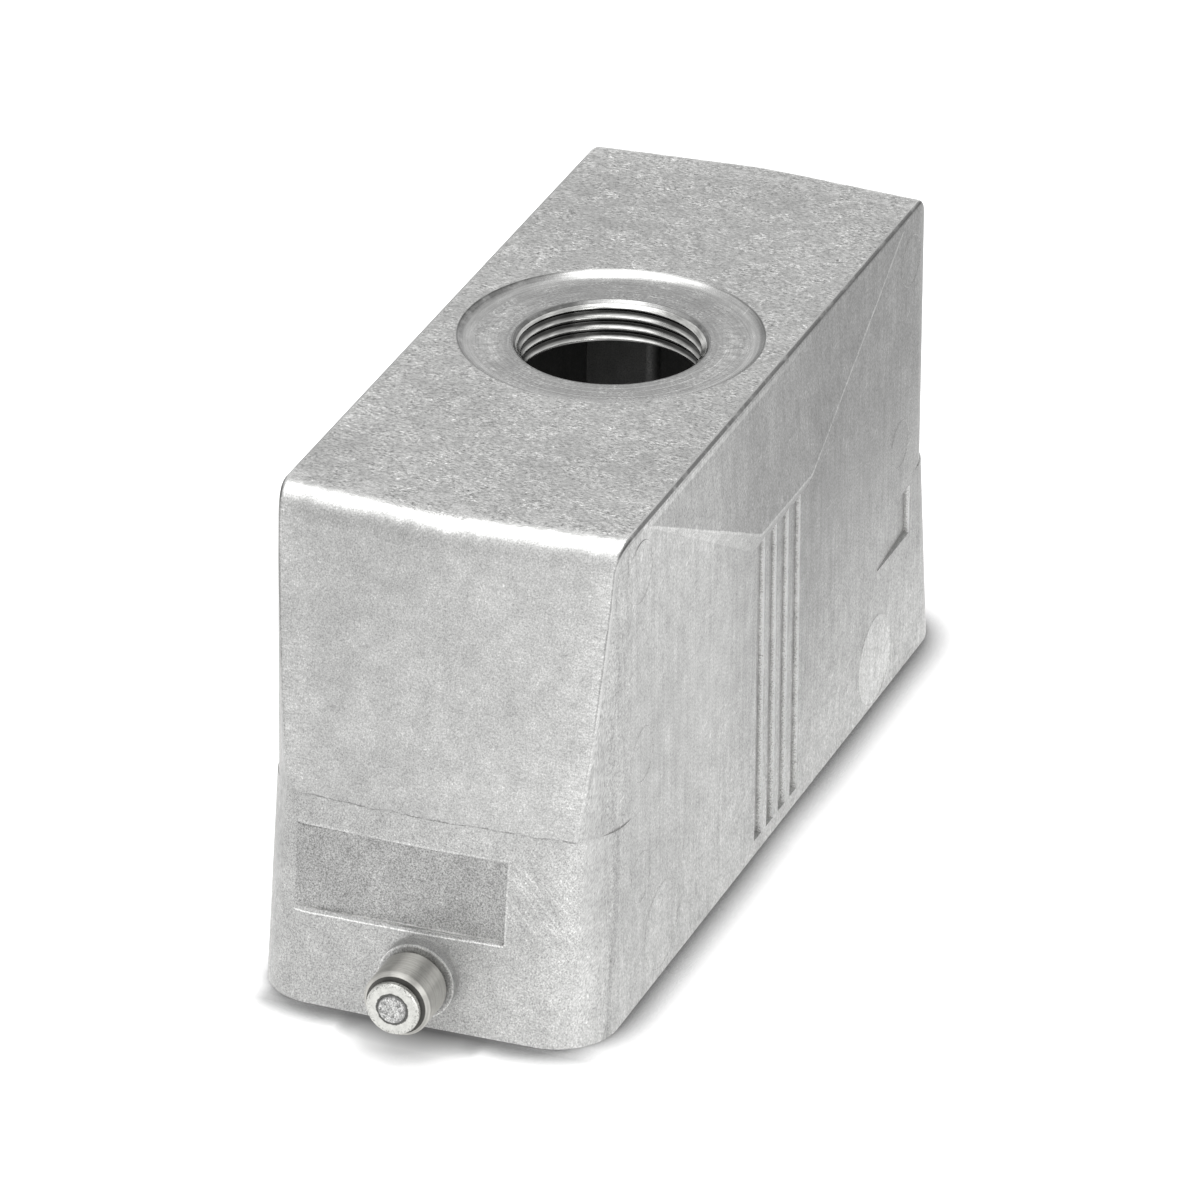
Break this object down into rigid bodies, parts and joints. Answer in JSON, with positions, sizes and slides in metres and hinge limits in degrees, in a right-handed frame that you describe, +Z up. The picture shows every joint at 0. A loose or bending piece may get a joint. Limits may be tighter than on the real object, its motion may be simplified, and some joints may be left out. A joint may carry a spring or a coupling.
{
  "type": "connector sleeve housing",
  "caption": "Die-cast aluminium sleeve housing for a long rectangular industrial connector, with a threaded cable entry in the roof and a locking roller at each end.",
  "frame": {"origin": "middle of the open rim, on the rim's plane", "axes": "+Z up from the open rim to the roof with the cable entry, +X along the long side towards the end without the label recess, -Y towards the long side with the small bare recess"},
  "size_m": [0.1376, 0.0448, 0.0615],
  "materials": {
    "cast_aluminium": "raw die casting, matte, sanded roof",
    "roller_steel": "turned and polished",
    "washer_steel": "zinc plated, satin"
  },
  "bodies": {
    "housing": {"housing": "cast_aluminium", "near_washer": "washer_steel", "far_washer": "washer_steel"},
    "near_roller": {"near_roller": "roller_steel"},
    "far_roller": {"far_roller": "roller_steel"}
  },
  "joints": [
    {"name": "near_roller_spin", "type": "hinge", "parent": "housing", "child": "near_roller", "pos_m": [-0.06448, 0, 0.0064], "axis": [1, 0, 0], "continuous": true},
    {"name": "far_roller_spin", "type": "hinge", "parent": "housing", "child": "far_roller", "pos_m": [0.06448, 0, 0.0064], "axis": [1, 0, 0], "continuous": true}
  ]
}
